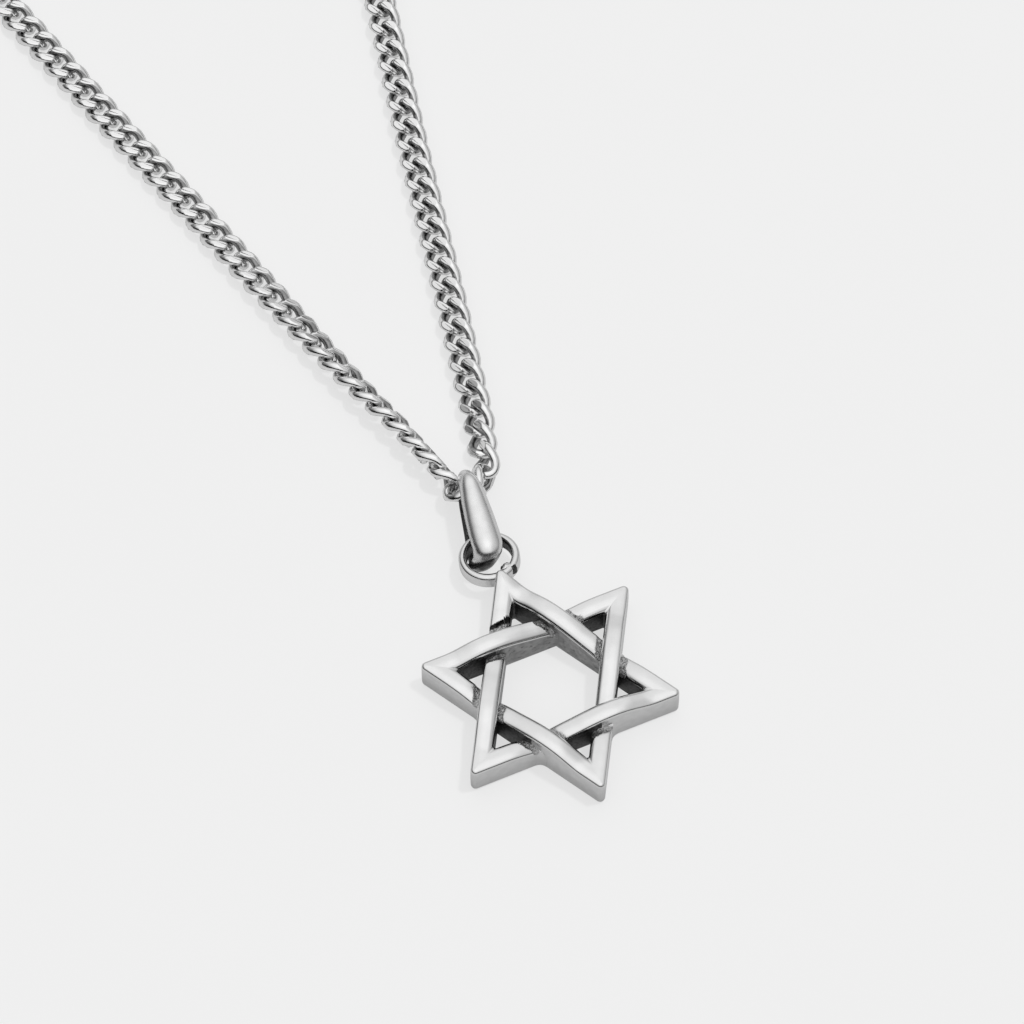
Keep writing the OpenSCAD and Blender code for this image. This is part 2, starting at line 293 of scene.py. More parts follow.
polished = metal("polished_silver", 0.87, 0.17, 0.15, wear=0.04)
# Painted shade: the outer sides' silver darkens towards the floor, to 0.72 of its tone at the
# foot.
side = metal("side_silver", 0.8, 0.3, 0.12, bump=0.05,
             painted_shade_falls=[((0, 0, 1), 0, 3.0, 0.72, 1, 0.4)])
# Painted shade: window_silver and dark_silver are darker copies of the silver for the walls in the
# star's window and in its tip holes, and dark_silver also darkens the insides of the ring and the
# bail. Their spots and broad wear are marks. dark_silver also colours the steepest dip's black
# slope and the lower solder lump.
window = metal("window_silver", 0.4, 0.38, 0.12, wear=0.45, bump=0.2, spots=(0.4, 0.4, 0.55))
hole = metal("dark_silver", 0.13, 0.45, 0.1, wear=0.5, bump=0.3, spots=(0.35, 0.25, 0.5))
rough = metal("rough_silver", 0.95, 0.4, 0.12, wear=0.35, bump=1.0, spots=(0.35, 0.2, 0.5))
ring_metal = metal("ring_silver", 0.88, 0.18, 0.12)
bail_metal = metal("bail_silver", 0.97, 0.27, 0.15,
                   painted_shade_falls=[(BAIL_AXIS, bail_foot - 0.1, bail_foot + 0.5, 0.04, 1, 0.5),
                          (BAIL_ACROSS, bail_ridge - 1.1, bail_ridge, 0.9, 1, 0.25),
                          (-BAIL_ACROSS, -bail_ridge - 1.15, -bail_ridge - 0.2, 0.9, 1, 0.25)])
link_metal = metal("link_silver", 0.99, 0.13, 0.1, wear=0.03, spots=(0.88, 0.15, 0.6))
flat_metal = metal("link_flat_silver", 0.99, 0.16, 0.1, wear=0.02)
# Painted shade: the wires' inner sides, towards each link's middle, take this darker copy of the
# silver; its broad wear is marks.
shaded_inner_metal = metal("link_inner_shaded_silver", 0.5, 0.25, 0.1, wear=0.45)
clasp_metal = metal("clasp_silver", 0.85, 0.2, 0.2)
STAR_METALS = [polished, side, window, hole, rough, ring_metal]
POLISHED, SIDE, WINDOW, HOLE, ROUGH, RING = range(6)


def piece(name, points, faces, metals, which=None):
    """A mesh from points in millimetres, with a metal for each face."""
    mesh = bpy.data.meshes.new(name)
    mesh.from_pydata((np.asarray(points) * MM).tolist(), [], faces)
    for material in metals:
        mesh.materials.append(material)
    if which is not None:
        mesh.polygons.foreach_set("material_index", np.asarray(which, np.int32))
    mesh.polygons.foreach_set("use_smooth", np.ones(len(mesh.polygons), bool))
    mesh.update()
    made = bpy.data.objects.new(name, mesh)
    scene.collection.objects.link(made)
    return made


def grid_faces(rows, columns, round_rows=True):
    """Faces of a grid of points, row after row, whose rows are closed and whose columns may be."""
    faces = []
    for r in range(rows if round_rows else rows - 1):
        n = (r + 1) % rows
        for c in range(columns):
            d = (c + 1) % columns
            faces.append((r * columns + c, r * columns + d, n * columns + d, n * columns + c))
    return faces


# Star

# [place along a bar, from -1 to 1, share of the rise over a bar, share of the fall under one]
BAR_ROWS = np.array([
    [-1.00, 0.00, 0.00], [-0.70, 0.00, 0.00], [-0.60, 0.38, 0.00], [-0.50, 0.78, 0.00],
    [-0.42, 0.95, 0.00], [-0.34, 1.00, 0.00], [-0.22, 0.90, 0.00], [-0.10, 0.60, 0.00],
    [0.02, 0.20, 0.00], [0.12, 0.00, 0.05], [0.20, 0.00, 0.35], [0.30, 0.00, 0.60],
    [0.42, 0.00, 0.35], [0.54, 0.00, 0.08], [0.64, 0.00, 0.00], [1.00, 0.00, 0.00]])
TOP_ROUND = 0.3                                # on the bars' upper edges
FOOT_ROUND = 0.4                               # on their lower edges
# the holes' upper edges, as distances from the side and below the top
INNER_EDGE = [(0.42, 0), (0.3, 0.045), (0.2, 0.11), (0.11, 0.19), (0.045, 0.29), (0.01, 0.38),
              (0, 0.46)]
CROWN = 0.05                                   # of a bar's top, above its edges
SIDE_BULGE = 0.02                              # of a bar's outer side, past its edges
EDGE_SPACE = 0.08                              # between the top's last row and the holes' edges
FOOT_CHAMFER = 0.15                            # on a bar's lower inner edge
TOP_PARTS = 13                                 # across a bar's top
SCARP = 0.24                                   # width of the slope at a dip's edge
DIP_DEPTH = 0.22                               # of a full dip, below the bar's own top
# for each bar, how full its dip is towards the star's middle and towards the bar's tip
DIPS = [(1, 0.5), (0.35, 0.4), (0.04, 1), (0.16, 1), (0.25, 0.9), (1, 1.9)]
LONG_DIP = 5, 0.45                             # a bar whose outer dip is this much longer
DARK_SCARP = 1.5                               # a dip fuller than this has a black slope
BLACK = 3                                      # marks that slope among the dips
SLOPE = 0.1, 0.9                               # shares of a dip's edge that its slope spans
DIP_NEAR = 0.5                                 # past a dip, where its edge may still run
JAG_SIZE, JAG = 0.8, 0.16                      # of a dip's edge
RUB_SIZE, RUB = 0.25, 0.06                     # of a dip's floor
ROUGH_FROM = 0.14                              # a point dipped this much is rough
WINDOW_REACH = 3.3                             # half of an inner side's stretch at the window
HOLE_REACH = 2.3                               # half of an outer side's stretch at a tip's hole
PLACES, SMOOTHED = 801, 41                     # heights along a bar, and those in each mean
STATIONS = 280                                 # along a bar
RISE_FROM, RISE_TO = 0.6, 0.93                 # where the bars rise to the top tip
TIP_STATIONS = 7
INNER_ROUND = 0.16                             # of the holes' corners at the tips
INNER_ROUND_FROM = 1.3                         # from the outer side, where that round begins
TIP_LEAST = 0.03                               # the least round of a bar's rows in a tip

places = np.linspace(-1, 1, PLACES)
heights = (TIP_HEIGHT
           + np.interp(places, BAR_ROWS[:, 0], BAR_ROWS[:, 1]) * (OVER_HEIGHT - TIP_HEIGHT)
           - np.interp(places, BAR_ROWS[:, 0], BAR_ROWS[:, 2]) * (TIP_HEIGHT - UNDER_HEIGHT))
heights = np.convolve(np.pad(heights, SMOOTHED // 2, "edge"),
                      np.ones(SMOOTHED) / SMOOTHED, "valid")


def grit(points, size, seed):
    """Rough noise at points, about -1 to 1."""
    return np.array([noise.fractal(Vector(p) / size + Vector((seed, 0, 0)), 1.0, 2.0, 3)
                     for p in points])


def top_at(x, y, bar):
    """The height of a bar's top where it lies along X on the +Y side, and how far it is dipped."""
    seed = 10.0 * bar
    top = np.interp(x / HALF_OUTER, places, heights)
    if bar in (1, 5):
        rise = smoothstep(RISE_FROM, RISE_TO, x / HALF_OUTER * (1 if bar == 5 else -1))
        top = top + rise * (TOP_TIP_HEIGHT - TIP_HEIGHT)
    across = x * math.sin(math.pi / 3) + y * math.cos(math.pi / 3)
    inner, outer = DIPS[bar]
    fullness = np.where(across < (INNER_SIDE + OUTER_SIDE) / 2, inner, outer)
    reach = across - OUTER_SIDE - (LONG_DIP[1] if bar == LONG_DIP[0] else 0)
    away = np.maximum(INNER_SIDE - across, reach)
    near = away < DIP_LENGTH + DIP_NEAR
    jag, rub = np.zeros(len(x)), np.zeros(len(x))
    if near.any():
        spots = np.stack([x[near], y[near], np.zeros(near.sum())], 1)
        jag[near] = grit(spots, JAG_SIZE, seed) * JAG
        rub[near] = grit(spots, RUB_SIZE, seed + 50) * RUB
    edge = away + jag
    kept = smoothstep(DIP_LENGTH - SCARP, DIP_LENGTH, edge)
    floor = top + (rub - DIP_DEPTH) * fullness
    dip = np.where(near, (1 - kept) * fullness, 0)
    black = (fullness > DARK_SCARP) & (kept > SLOPE[0]) & (kept < SLOPE[1])
    return np.where(near, floor + (top - floor) * kept, top), np.where(black & near, BLACK, dip)


def bar_section():
    """[from the outer side, share of the height, added height, kind] round a bar's section.

    The kinds are 0 for the outer side, 1 for the top and its edges, and 2 for the inner side.
    """
    rows = []
    for k in range(5):                         # outer lower edge
        a = math.pi / 2 * k / 4
        rows.append([FOOT_ROUND * (1 - math.sin(a)) + SIDE_BULGE, 0,
                     FOOT_ROUND * (1 - math.cos(a)), 0])
    rows.append([0.0, 0.5, 0, 0])
    for k in range(6):                         # outer upper edge
        a = math.pi / 2 * k / 5
        rows.append([TOP_ROUND * (1 - math.cos(a)) + SIDE_BULGE, 1,
                     TOP_ROUND * (math.sin(a) - 1), 1])
    inner_top = INNER_EDGE[0][0] + EDGE_SPACE
    for k in range(1, TOP_PARTS):              # top
        t = k / TOP_PARTS
        rows.append([TOP_ROUND + SIDE_BULGE
                     + t * (BAR_WIDTH - TOP_ROUND - SIDE_BULGE - inner_top), 1,
                     CROWN * (1 - (2 * t - 1) ** 2), 1])
    rows += [[BAR_WIDTH - x, 1, -z, 1] for x, z in INNER_EDGE]
    rows.append([BAR_WIDTH, 0.5, 0, 2])
    rows.append([BAR_WIDTH, 0, FOOT_CHAMFER, 2])
    rows.append([BAR_WIDTH - FOOT_CHAMFER, 0, 0, 2])
    return np.array(rows)


def triangle(name, first):
    """Three bars joined in round tips; the first lies at this place, going clockwise."""
    section = bar_section()
    count = STATIONS + TIP_STATIONS
    points = np.zeros((len(section), 3 * count, 3))
    dips = np.zeros((len(section), 3 * count))
    plan = np.zeros((len(section), 3 * count))
    for row, (inset, share, added, _) in enumerate(section):
        reach = OUTER_SIDE - inset
        radius = (max(TIP_ROUND - inset, TIP_LEAST)
                  + INNER_ROUND * smoothstep(INNER_ROUND_FROM, BAR_WIDTH, inset))
        straight = (reach - radius) * math.sqrt(3)
        arc = np.radians(90 - 120 * (np.arange(1, TIP_STATIONS + 1)) / (TIP_STATIONS + 1))
        x = np.concatenate([np.linspace(-straight, straight, STATIONS),
                            straight + radius * np.cos(arc)])
        y = np.concatenate([np.full(STATIONS, reach),
                            reach - radius + radius * np.sin(arc)])
        for bar in range(3):
            top, dip = top_at(x, y, first + 2 * bar)
            z = share * top + added
            local = np.stack([x, y, z], 1)
            at = slice(bar * count, (bar + 1) * count)
            points[row, at] = turned(local, -60 * (first + 2 * bar))
            dips[row, at] = dip
            plan[row, at] = x
    columns = 3 * count
    faces = grid_faces(len(section), columns)
    which = []
    for r in range(len(section)):
        kind = section[r, 3], section[(r + 1) % len(section), 3]
        for c in range(columns):
            d = (c + 1) % columns
            x = abs(plan[r, c])
            # Walls in the window and in the tip holes take the darker silvers, as painted shade.
            if min(kind) == 1 or kind == (1, 2):
                deep = max(dips[r, c], dips[r, d], dips[(r + 1) % len(section), c])
                metal_of = ROUGH if deep > ROUGH_FROM and kind == (1, 1) else POLISHED
                if deep == BLACK:
                    metal_of = HOLE
                if kind == (1, 2):
                    metal_of = WINDOW if x < WINDOW_REACH else HOLE
            elif kind[0] == 0:
                metal_of = HOLE if x < HOLE_REACH else SIDE
            else:
                metal_of = WINDOW if x < WINDOW_REACH else HOLE
            which.append(metal_of)
    return piece(name, points.reshape(-1, 3) + STAR, [f[::-1] for f in faces], STAR_METALS, which)


def arc_points(radius, start, end, parts):
    """Points on an arc about the origin, between two angles in degrees."""
    a = np.radians(np.linspace(start, end, parts + 1))
    return np.stack([radius * np.cos(a), radius * np.sin(a)], 1)


CORNER_PARTS = 14                              # of a fillet's arc
CORNER_SIDE, CORNER_BACK = 0.25, 0.35          # how far a fillet reaches into the bars
CORNER_LIFT = 0.01                             # of a fillet off the floor
# [below a fillet's upper end, share of its radius]
RUN_OUT = [(1.0, 1), (0.6, 0.93), (0.3, 0.76), (0.12, 0.5), (0.03, 0.25), (0, 0.08)]


def corner(name, reach, radius, facing, height, degrees, which):
    """The fillet in a corner of 120 degrees, whose radius runs out at its upper end."""
    foot = [(FOOT_ROUND * (1 - math.cos(a)), 1, FOOT_ROUND * (1 - math.sin(a)))
            for a in np.radians([0, 25, 50, 75, 90])]
    rows = []
    for z, share, inset in foot + [(height - below, share, 0) for below, share in RUN_OUT]:
        r = radius * share
        plan = arc_points(r, -120, -60, CORNER_PARTS)
        plan[:, 1] += r * 2 / math.sqrt(3)
        plan = np.concatenate([[plan[0] + [-CORNER_SIDE, -CORNER_BACK]], plan,
                               [plan[-1] + [CORNER_SIDE, -CORNER_BACK]]])
        plan[:, 1] = reach + facing * (plan[:, 1] - inset * 2 / math.sqrt(3))
        rows.append(np.column_stack([plan, np.full(len(plan), z + CORNER_LIFT)]))
    n = CORNER_PARTS + 3
    points = turned(np.concatenate(rows), degrees) + STAR
    faces = grid_faces(len(rows), n, round_rows=False)
    faces += [tuple(range(n)), tuple(range((len(rows) - 1) * n, len(rows) * n))]
    return piece(name, points, faces, STAR_METALS, [which] * len(faces))


def lathe(name, section, parts, metals, kinds):
    """A closed section, as distances from the axis and heights, swept round the Z axis."""
    a = 2 * np.pi * np.arange(parts) / parts
    points = np.stack([np.cos(a)[:, None] * section[None, :, 0],
                       np.sin(a)[:, None] * section[None, :, 0],
                       np.broadcast_to(section[None, :, 1], (parts, len(section)))], 2)
    return piece(name, points.reshape(-1, 3), grid_faces(parts, len(section)), metals,
                 list(kinds) * parts)


def outward(made):
    """Turns the faces of a closed mesh outwards."""
    shape = bmesh.new()
    shape.from_mesh(made.data)
    bmesh.ops.recalc_face_normals(shape, faces=shape.faces)
    shape.to_mesh(made.data)
    shape.free()
    return made


VALLEY_RISE = 0.4                              # of the valleys' fillets over the dips

star_parts = [triangle("bars_a", 0), triangle("bars_b", 1)]
for k in range(6):
    star_parts.append(corner(f"valley_{k}", OUTER_SIDE * 2 / math.sqrt(3), VALLEY_ROUND, 1,
                             UNDER_HEIGHT + VALLEY_RISE, 60 * k + 30, SIDE))
    star_parts.append(corner(f"window_{k}", INNER_SIDE * 2 / math.sqrt(3), WINDOW_ROUND, -1,
                             UNDER_HEIGHT, 60 * k + 30, WINDOW))

RING_DROP = 0.1                                # from the other tips' tops to the ring's
RING_EDGE = 0.32                               # rounding of the band's edges
EDGE_PARTS = 6                                 # of each rounded edge
RING_PARTS = 120                               # round the ring
sweep = (RING_OUTSIDE - RING_WIRE) / 2
tilt = math.radians(RING_TILT)
RING_MIDDLE = STAR + [0, TIP_REACH + RING_REACH, TIP_HEIGHT - RING_DROP
                      - RING_HEIGHT / 2 * math.cos(tilt) - sweep * math.sin(tilt)]


def tilted(points):
    """Points about the ring's middle, tilted with it and put in its place."""
    c, s = math.cos(tilt), math.sin(tilt)
    points = np.asarray(points, float)
    return np.stack([points[:, 0], c * points[:, 1] + s * points[:, 2],
                     -s * points[:, 1] + c * points[:, 2]], 1) + RING_MIDDLE


def ring_section():
    """The band's section, as distances from the ring's axis and heights."""
    rows = []
    for from_angle, side_x, side_z in ((0, 1, 1), (90, -1, 1), (180, -1, -1), (270, 1, -1)):
        arc = arc_points(RING_EDGE, from_angle, from_angle + 90, EDGE_PARTS)
        rows.append(arc + [sweep + side_x * (RING_WIRE / 2 - RING_EDGE),
                           side_z * (RING_HEIGHT / 2 - RING_EDGE)])
    return np.concatenate(rows)


def retilt(made):
    """Puts a piece made about the origin in the ring's place."""
    points = np.array([v.co for v in made.data.vertices]) / MM
    made.data.vertices.foreach_set("co", (tilted(points) * MM).ravel())
    return made


band = ring_section()
# Painted shade: the band's inner faces take the dark silver.
inside = (band[:, 0] + np.roll(band[:, 0], -1)) / 2 < sweep - RING_WIRE / 2 + RING_EDGE / 3
ring_metals = np.where(inside, HOLE, RING)
star_parts.append(retilt(lathe("ring", band, RING_PARTS, STAR_METALS, ring_metals)))


LUMP_WAVE, LUMP_ROUGH = 0.16, 0.05             # how far a lump's form and its skin vary
LUMP_WAVE_SIZE, LUMP_ROUGH_SIZE = 0.6, 0.2     # of a lump's half size
# [turn about the ring, place inside its wire's middle, half sizes, height, metal]
SOLDER = [(-56, -0.03, (0.5, 0.44, 0.6), 0.1, HOLE), (-63, 0.25, (0.55, 0.5, 0.4), 0.32, POLISHED)]
SHARP_STAR = 32                                # degrees, past which the star's edges are sharp


def lump(name, middle, size, seed, which):
    """A small rough lump of solder."""
    shape = bmesh.new()
    bmesh.ops.create_icosphere(shape, subdivisions=4, radius=1)
    points = np.array([v.co for v in shape.verts])
    faces = [tuple(v.index for v in f.verts) for f in shape.faces]
    shape.free()
    swell = (1 + LUMP_WAVE * grit(points, LUMP_WAVE_SIZE, seed)
             + LUMP_ROUGH * grit(points, LUMP_ROUGH_SIZE, seed + 9))
    return piece(name, points * swell[:, None] * size + middle, faces, STAR_METALS,
                 np.full(len(faces), which))


for number, (turn, inward, size, level, metal_of) in enumerate(SOLDER):
    a = math.radians(turn)
    spot = np.array([[(sweep - inward) * math.cos(a), (sweep - inward) * math.sin(a), level]])
    star_parts.append(lump(f"solder_{number}", tilted(spot)[0], np.array(size), number * 7.0,
                           metal_of))
for made in star_parts:
    outward(made)

star = star_parts[0]
for other in star_parts[1:]:
    cut = star.modifiers.new("joined", "BOOLEAN")
    cut.operation = "UNION"
    cut.solver = "MANIFOLD"
    cut.object = other
depsgraph = bpy.context.evaluated_depsgraph_get()
joined = bpy.data.meshes.new_from_object(star.evaluated_get(depsgraph))
star.modifiers.clear()
star.data = joined
star.name = "woven_star"
for other in star_parts[1:]:
    bpy.data.objects.remove(other)
joined.polygons.foreach_set("use_smooth", np.ones(len(joined.polygons), bool))
joined.set_sharp_from_angle(angle=math.radians(SHARP_STAR))
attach(star, "root")
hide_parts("star")

# Bail

BAIL_LEAN = 14                                 # of its front, towards +X
BAIL_SEAT = np.array([-0.55, -0.85, 0])        # its lower end, from the ring's middle
bail_low = RING_MIDDLE * [1, 1, 0] + BAIL_SEAT
HANG = bail_low + BAIL_AXIS * BAIL_LENGTH
bail_rest = (BAIL_DEPTH / 2 * math.cos(math.radians(BAIL_LEAN))
             + BAIL_BACK / 2 * math.sin(math.radians(BAIL_LEAN)))
BAIL_MIDDLE = bail_low + BAIL_AXIS * BAIL_LENGTH / 2 + [0, 0, bail_rest]
FRONT_TURN = 3                                 # of its front, back from BAIL_TURN
BACK_TWIST = 8                                 # the back wire's turn from the front's
BACK_SHIFT = 0.2                               # of the back wire, towards -X
BAIL_BELLY = 0.1                               # share of the bail's thickness inside its widest

# [along the bail from its middle, width of its front]
FRONT_WIDTHS = np.array([[-4.75, 1.7], [-4.4, 2.2], [-4, 2.5], [-3.2, 2.72], [-2, 2.75],
                         [-0.5, 2.62], [1.2, 2.35], [2.8, 1.95], [4.0, 1.55], [4.75, 1.15]])
LOW_CORNER = 3.4                               # exponent of the round at the front's lower end
LOW_END = 0.5, -1.5                            # where its lower end begins and is in full
WIDEN = -1.9, 1.3                              # depths, between which the wire widens
WIDEN_LOW = -0.35, -1.7                        # what these depths gain at its lower end
BAIL_COUNT, BAIL_SIDES = 160, 28               # round the loop, and round its wire
# A side past this faces the bail's hole and gets painted shade.
BACK_SHARE = -0.1                              # sine past which a side faces the bail's hole


def stadium(radius, straight, middle, count):
    """A loop of two straights and two half rounds, from the front's lower end upwards."""
    quarter = count // 4
    y, z = [], []
    y += list(np.linspace(-straight / 2, straight / 2, quarter, endpoint=False))
    z += [radius] * quarter
    a = np.linspace(np.pi / 2, -np.pi / 2, quarter, endpoint=False)
    y += list(straight / 2 + radius * np.cos(a))
    z += list(radius * np.sin(a))
    y += list(np.linspace(straight / 2, -straight / 2, quarter, endpoint=False))
    z += [-radius] * quarter
    a = np.linspace(-np.pi / 2, -3 * np.pi / 2, quarter, endpoint=False)
    power = np.where(np.sin(a) > 0, 2 / LOW_CORNER, 1)
    y += list(-straight / 2 - radius * np.abs(np.cos(a)) ** power)
    z += list(radius * np.sign(np.sin(a)) * np.abs(np.sin(a)) ** power)
    return np.stack([y, np.array(z) + middle], 1)


def make_bail():
    """The bail's loop, made upright along Y, and then leaned and turned into its place."""
    count, sides = BAIL_COUNT, BAIL_SIDES
    hole_depth = BAIL_DEPTH - BAIL_FRONT - BAIL_BACK
    outer = stadium(BAIL_DEPTH / 2, BAIL_LENGTH - BAIL_DEPTH, 0, count)
    inner = stadium(hole_depth / 2, BAIL_LENGTH - 2 * BAIL_END - hole_depth,
                    (BAIL_BACK - BAIL_FRONT) / 2, count)
    middle, thick = (outer + inner) / 2, np.linalg.norm(outer - inner, axis=1)
    out = (outer - inner) / thick[:, None]
    front = np.interp(middle[:, 0], FRONT_WIDTHS[:, 0], FRONT_WIDTHS[:, 1])
    low_end = smoothstep(*LOW_END, middle[:, 0])
    share = smoothstep(WIDEN[0] + WIDEN_LOW[0] * low_end, WIDEN[1] + WIDEN_LOW[1] * low_end,
                       middle[:, 1])
    wide = BAIL_BACK + (front - BAIL_BACK) * share
    a = 2 * np.pi * np.arange(sides) / sides
    points = np.zeros((count, sides, 3))
    for k in range(sides):
        c, s = math.cos(a[k]), math.sin(a[k])
        belly = 0.5 + (BAIL_BELLY - 0.5) * share
        push = thick * ((1 - belly) * s if s > 0 else belly * s) + thick * (belly - 0.5)
        points[:, k, 0] = 0.5 * wide * c
        points[:, k, 1] = middle[:, 0] + out[:, 0] * push
        points[:, k, 2] = middle[:, 1] + out[:, 1] * push
    flat = points.reshape(-1, 3)
    back = 0.5 - flat[:, 2] / BAIL_DEPTH
    twist = np.radians(BACK_TWIST) * back - math.radians(FRONT_TURN)
    flat[:, 0] += flat[:, 1] * np.tan(twist) - BACK_SHIFT * back
    c, s = math.cos(math.radians(BAIL_LEAN)), math.sin(math.radians(BAIL_LEAN))
    flat = np.stack([c * flat[:, 0] + s * flat[:, 2], flat[:, 1],
                     -s * flat[:, 0] + c * flat[:, 2]], 1)
    flat = turned(flat, BAIL_TURN) + BAIL_MIDDLE
    # Painted shade: the sides of the wire that face the bail's hole take the dark silver.
    dark = np.sin(a + np.pi / sides) < BACK_SHARE
    which = np.tile(dark.astype(int), count)
    made = outward(piece("bail_loop", flat, grid_faces(count, sides), [bail_metal, hole], which))
    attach(made, "root")
    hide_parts("bail")


make_bail()

# Chain

# [x, y, lift off the floor, turn of its flat, share of its section], from the hang point
ROUTE_ROWS = [
    [-20.5, 236, 0.2, 0, 1], [-33.5, 229.5, 0, 0, 1], [-43.5, 219.5, 0, 0, 1],
    [-50.5, 207, 0, 0, 1], [-53.5, 192, 0, 0, 1], [-51.5, 177, 0, 0, 1],
    [-45.5, 156, 0, 0, 1], [-39.5, 135, 0, 0, 1], [-33.5, 114, 0, 0, 1],
    [-27.8, 93, 0, 0, 1], [-22, 73, 0, -2, 1], [-18.2, 59.5, 0, -3, 1],
    [-14.5, 46, 0, -5, 1], [-10.8, 32.9, 0, -10, 1], [-8.1, 23.2, 0, -22, 1],
    [-6.3, 16.9, 0, -37, 1], [-4.4, 10.7, 0, -54, 1], [-3.3, 7.6, 0, -60, 1],
    [-2.5, 4.7, 0.1, -66, 1], [-1.9, 2.3, 0.4, -72, 1], [-1.6, 0.6, 0.7, -78, 0.9],
    [-1.75, -0.8, 0.9, -84, 0.7], [-1, -1.95, 1, -90, 0.62], [0.1, -2.05, 1, -90, 0.62],
    [1.1, -1.7, 1, -86, 0.62], [1.9, -0.9, 0.9, -78, 0.75], [2.5, 0.2, 0.7, -66, 0.9],
    [3.1, 2.4, 0.4, -50, 1], [3.5, 4.6, 0.1, -36, 1], [4.2, 7.9, 0, -28, 1],
    [4.9, 11.3, 0, -23, 1], [6.3, 18, 0, -20, 1], [9, 31.8, 0, -18, 1],
    [12, 46, 0, -16, 1], [17, 69.5, 0, -12, 1], [22, 92, 0, -8, 1], [27, 114, 0, -4, 1],
    [32, 136, 0, 0, 1], [37, 158, 0, 0, 1], [42, 179.5, 0, 0, 1], [43, 192, 0, 0, 1],
    [40, 207, 0, 0, 1], [33.5, 219.5, 0, 0, 1], [23, 229.5, 0, 0, 1], [10.5, 236, 0.2, 0, 1]]
CLASP_PLACE = np.array([-5.2, 238])
LINK_RING_LEAN = 45                            # of the clasp's rings, in degrees
link_ring_sweep = (LINK_RING_OUTSIDE - LINK_RING_WIRE) / 2
clasp_level = max(CLASP_THICK / 2, link_ring_sweep * math.sin(math.radians(LINK_RING_LEAN))
                  + LINK_RING_WIRE / 2 + GAP / 5)
chain_end = (CLASP_LENGTH - CLASP_BAR) / 2 + LINK_RING_OUTSIDE / 2 + GAP
end_lift = clasp_level - CHAIN_THICK / 2
ROUTE = np.array([[CLASP_PLACE[0] - chain_end, CLASP_PLACE[1], end_lift, 0, 1]] + ROUTE_ROWS
                 + [[CLASP_PLACE[0] + chain_end, CLASP_PLACE[1], end_lift, 0, 1]])

LINK_HALF = 1.49                               # half a link's centre line, along the chain
LINK_WIRE = 0.84
LINK_SPREAD = (CHAIN_WIDTH - LINK_WIRE) / 2
LINK_TWIST = 54                                # of a link's ends, in degrees
LINK_CORNER = 2.3                              # exponent of a link's rounded outline
LINK_FLAT = 0.75                               # from the chain's middle to its filed flats
FLAT_EDGE = 0.11                               # of a flat's border, which the wire rounds
PITCH = 2.13                                   # from link to link
FLOOR_GAP = 0.01                               # the least, under a link
# A wire's side past this gets painted shade.
INNER_SHARE = -0.3                             # cosine past which a wire's side is its inner one
CURVE_PARTS = 16                               # between two rows of the route
LINK_METALS = [link_metal, flat_metal, shaded_inner_metal]
WIRE, FLAT, SHADED_INNER = range(3)

# The links round the bail, each at its own place: [x, y, height, turn of its flat]
BAIL_LINKS = [[-1.33, 0.54, 1.6, -74], [-0.5, -1.65, 1.9, -60], [1.1, -1.15, 1.75, -96],
              [2.55, 0.75, 1.5, -58], [2.95, 2.85, 1.3, -46]]
ROWS_BEFORE, ROWS_AFTER = 21, 29               # of the route, on either side of these


def smooth_line(rows):
    """The rows joined by a smooth curve through them."""
    rows = np.concatenate([[2 * rows[0] - rows[1]], rows, [2 * rows[-1] - rows[-2]]])
    t = (np.arange(CURVE_PARTS) / CURVE_PARTS)[:, None]
    line = []
    for a, b, c, d in zip(rows, rows[1:], rows[2:], rows[3:]):
        line.append(0.5 * (2 * b + (c - a) * t + (2 * a - 5 * b + 4 * c - d) * t * t
                           + (3 * b - a - 3 * c + d) * t ** 3))
    return np.concatenate(line + [rows[-2:-1]])


def link_shape(segments=28, sides=10):
    """One curb link about the origin, along X, with its flats filed."""
    f = 2 * np.pi * np.arange(segments) / segments
    c, s = np.cos(f), np.sin(f)
    power = 2 / LINK_CORNER
    x = LINK_HALF * np.sign(c) * np.abs(c) ** power
    y = LINK_SPREAD * np.sign(s) * np.abs(s) ** power
    a = np.radians(LINK_TWIST) * x / LINK_HALF
    line = np.stack([x, y * np.cos(a), y * np.sin(a)], 1)
    ahead = np.roll(line, -1, 0) - np.roll(line, 1, 0)
    ahead /= np.linalg.norm(ahead, axis=1)[:, None]
    normal = np.stack([np.zeros(segments), -np.sin(a), np.cos(a)], 1)
    normal -= ahead * np.sum(ahead * normal, 1)[:, None]
    normal /= np.linalg.norm(normal, axis=1)[:, None]
    out = np.cross(ahead, normal)
    g = 2 * np.pi * (np.arange(sides) + 0.5) / sides
    points = line[:, None] + LINK_WIRE / 2 * (np.cos(g)[None, :, None] * out[:, None]
                                              + np.sin(g)[None, :, None] * normal[:, None])
    # Painted shade: the inner sides of the wire are marked for the darker silver.
    inner = np.cos(g + np.pi / sides) < INNER_SHARE
    shape = bmesh.new()
    corners = [shape.verts.new(p) for p in points.reshape(-1, 3)]
    for number, face in enumerate(grid_faces(segments, sides)):
        made = shape.faces.new([corners[k] for k in face])
        made.material_index = SHADED_INNER if inner[number % sides] else WIRE
    bmesh.ops.recalc_face_normals(shape, faces=shape.faces)
    for sign in (-1, 1):
        everything = list(shape.verts) + list(shape.edges) + list(shape.faces)
        cut = bmesh.ops.bisect_plane(shape, geom=everything, dist=1e-5,
                                     plane_co=(0, 0, sign * LINK_FLAT), plane_no=(0, 0, sign),
                                     clear_outer=True)
        edges = [e for e in cut["geom_cut"] if isinstance(e, bmesh.types.BMEdge)]
        flats = bmesh.ops.holes_fill(shape, edges=edges, sides=0)["faces"]
        bmesh.ops.inset_individual(shape, faces=flats, thickness=FLAT_EDGE)
        for face in flats:
            face.material_index = FLAT
    bmesh.ops.recalc_face_normals(shape, faces=shape.faces)
    shape.verts.index_update()
    points = np.array([v.co for v in shape.verts])
    faces = [tuple(v.index for v in f.verts) for f in shape.faces]
    which = [f.material_index for f in shape.faces]
    shape.free()
    return points, faces, which


